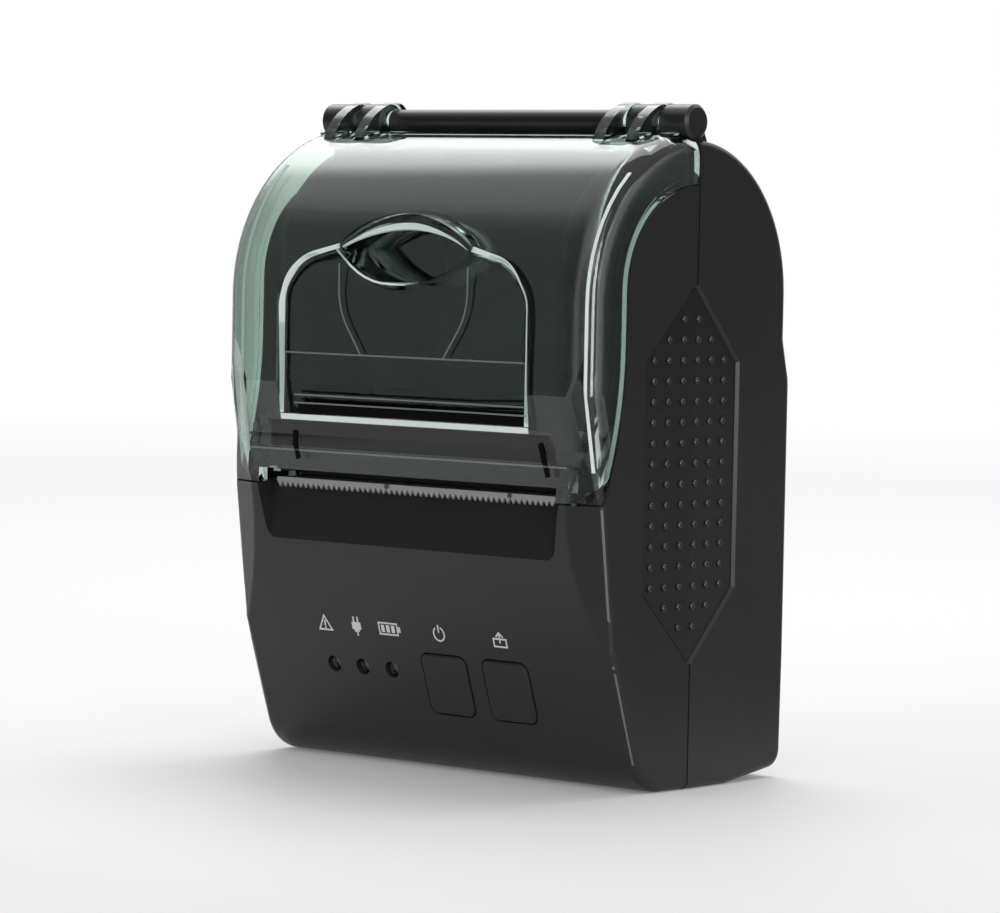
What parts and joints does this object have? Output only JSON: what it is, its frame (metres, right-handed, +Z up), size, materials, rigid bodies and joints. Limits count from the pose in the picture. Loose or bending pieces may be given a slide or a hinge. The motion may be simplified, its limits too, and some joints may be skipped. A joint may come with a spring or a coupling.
{
  "type": "portable receipt printer",
  "caption": "Pocket thermal receipt printer that stands on end, with a see-through lid that swings up on a top rod, tear bar, push buttons, side grips and a rear battery door",
  "frame": {"origin": "middle of the flat underside, on the joint between the front and rear case", "axes": "X to the right seen from the front, Y to the back, Z up along the height"},
  "size_m": [0.08, 0.0511, 0.1077],
  "materials": {
    "case_front": "fine satin",
    "case_rear": "fine satin",
    "rod": "satin black",
    "grip": "matte",
    "screws": "blackened",
    "tear_bar": "brushed",
    "bay": "moulded",
    "chips": "moulded",
    "frame": "plated sheet",
    "motor": "plated can",
    "steel": "ground",
    "board": "solder mask",
    "light_pipes": "clear moulded",
    "leds": "clear",
    "socket": "plated",
    "radio": "plated can",
    "capacitors": "drawn can",
    "contacts": "plated",
    "battery": "moulded",
    "door": "fine satin",
    "lid": "polished smoke green",
    "bracket": "moulded",
    "bushes": "moulded",
    "roller": "ground rubber",
    "gears": "moulded",
    "pinion": "machined",
    "heat_sink": "extruded",
    "head_strip": "glazed ceramic",
    "buttons": "satin",
    "plungers": "moulded"
  },
  "bodies": {
    "housing": {"front_case": "case_front", "rear_case": "case_rear", "hinge_rod": "rod", "left_grip_pad": "grip", "right_grip_pad": "grip", "case_screws": "screws", "tear_bar": "tear_bar", "paper_bay": "bay", "paper_sensor": "chips", "mechanism_frame": "frame", "stepper_motor": "motor", "idler_axle": "steel", "head_pin": "steel", "head_springs": "steel", "main_board": "board", "board_screws": "screws", "button_switches": "chips", "light_pipes": "light_pipes", "status_leds": "leds", "charging_socket": "socket", "radio_module": "radio", "board_capacitors": "capacitors", "buzzer": "chips", "battery_contacts": "contacts", "battery_pack": "battery"},
    "lid": {"lid": "lid", "roller_bracket": "bracket", "platen_bushes": "bushes"},
    "platen": {"platen_shaft": "steel", "platen_roller": "roller", "platen_gear": "gears"},
    "idler": {"idler_gear": "gears"},
    "rotor": {"motor_pinion": "pinion", "motor_shaft": "steel"},
    "print_head": {"heat_sink": "heat_sink", "head_strip": "head_strip"},
    "power_button": {"power_button": "buttons", "power_plunger": "plungers"},
    "feed_button": {"feed_button": "buttons", "feed_plunger": "plungers"},
    "battery_door": {"battery_door": "door"}
  },
  "joints": [
    {"name": "lid_hinge", "type": "hinge", "parent": "housing", "child": "lid", "pos_m": [0, 0, 0.1047], "axis": [-1, 0, 0], "range_deg": [0, 100]},
    {"name": "platen_spin", "type": "hinge", "parent": "lid", "child": "platen", "pos_m": [0, -0.0165, 0.052], "axis": [1, 0, 0], "continuous": true},
    {"name": "idler_spin", "type": "hinge", "parent": "housing", "child": "idler", "pos_m": [0, -0.00648, 0.04886], "axis": [1, 0, 0], "continuous": true},
    {"name": "rotor_spin", "type": "hinge", "parent": "housing", "child": "rotor", "pos_m": [0, -0.00398, 0.0397], "axis": [1, 0, 0], "continuous": true},
    {"name": "head_pivot", "type": "hinge", "parent": "housing", "child": "print_head", "pos_m": [0, -0.0051, 0.0519], "axis": [1, 0, 0], "range_deg": [0, 1.8], "stiffness_Nm_per_rad": 0.2, "springref_deg": -2.86},
    {"name": "power_press", "type": "slide", "parent": "housing", "child": "power_button", "axis": [0, 0.9478, 0.319], "range_m": [0, 0.0008], "stiffness_N_per_m": 600, "springref_m": -0.0008},
    {"name": "feed_press", "type": "slide", "parent": "housing", "child": "feed_button", "axis": [0, 0.9478, 0.319], "range_m": [0, 0.0008], "stiffness_N_per_m": 600, "springref_m": -0.0008},
    {"name": "battery_door_hinge", "type": "hinge", "parent": "housing", "child": "battery_door", "pos_m": [0, 0.0249, 0.008], "axis": [-1, 0, 0], "range_deg": [0, 70]}
  ],
  "couplings": [
    {"joint": "idler_spin", "follows": "platen_spin", "ratio": -0.61538},
    {"joint": "rotor_spin", "follows": "platen_spin", "ratio": 1.3333}
  ]
}
